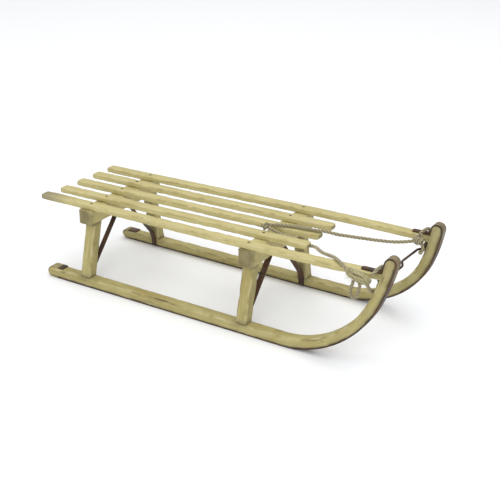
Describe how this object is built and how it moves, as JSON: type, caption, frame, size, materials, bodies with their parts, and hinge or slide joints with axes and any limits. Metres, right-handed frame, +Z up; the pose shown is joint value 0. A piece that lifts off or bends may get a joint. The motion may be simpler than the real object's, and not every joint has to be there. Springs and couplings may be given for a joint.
{
  "type": "sled",
  "caption": "Wooden toboggan with iron-shod curled runners, a slatted seat on leaning legs and cross-bars, iron arches, a rod between its horns and a pull rope.",
  "frame": {"origin": "on the ground under the middle of the sled", "axes": "+X forward to the curled horns, +Y to the sled's left, +Z up"},
  "size_m": [1.0484, 0.3532, 0.2796],
  "materials": {
    "frame_wood": "worn khaki varnish",
    "seat_wood": "worn pale varnish",
    "shoe_steel": "rusty and worn",
    "iron": "dark rust",
    "screws": "dark and dull",
    "rope": "hairy hemp"
  },
  "bodies": {
    "root": {"arch_front": "iron", "arch_rear": "iron", "cross_rod": "iron", "crossbar_front": "frame_wood", "crossbar_rear": "frame_wood", "knot_centre": "rope", "knot_left": "rope", "knot_right": "rope", "leg_front_left": "frame_wood", "leg_front_right": "frame_wood", "leg_rear_left": "frame_wood", "leg_rear_right": "frame_wood", "nail_bar_left": "screws", "nail_bar_right": "screws", "rope_bight": "rope", "rope_left_loop": "rope", "rope_left_run": "rope", "rope_right_loop": "rope", "rope_right_run": "rope", "runner_left": "frame_wood", "runner_right": "frame_wood", "screw_arch_front_left": "screws", "screw_arch_front_middle": "screws", "screw_arch_front_right": "screws", "screw_arch_rear_left": "screws", "screw_arch_rear_middle": "screws", "screw_arch_rear_right": "screws", "screw_horn_left": "screws", "screw_horn_right": "screws", "screw_rod_left": "screws", "screw_rod_right": "screws", "screw_slat_1_front": "screws", "screw_slat_1_rear": "screws", "screw_slat_2_front": "screws", "screw_slat_2_rear": "screws", "screw_slat_3_front": "screws", "screw_slat_3_rear": "screws", "screw_slat_4_front": "screws", "screw_slat_4_rear": "screws", "screw_slat_5_front": "screws", "screw_slat_5_rear": "screws", "screw_sole_front_left": "screws", "screw_sole_front_right": "screws", "screw_sole_rear_left": "screws", "screw_sole_rear_right": "screws", "screw_strap_left": "screws", "screw_strap_right": "screws", "screw_tab_left": "screws", "screw_tab_right": "screws", "shoe_left": "shoe_steel", "shoe_right": "shoe_steel", "slat_1": "seat_wood", "slat_2": "seat_wood", "slat_3": "seat_wood", "slat_4": "seat_wood", "slat_5": "seat_wood", "strap_left": "iron", "strap_right": "iron"}
  },
  "joints": []
}
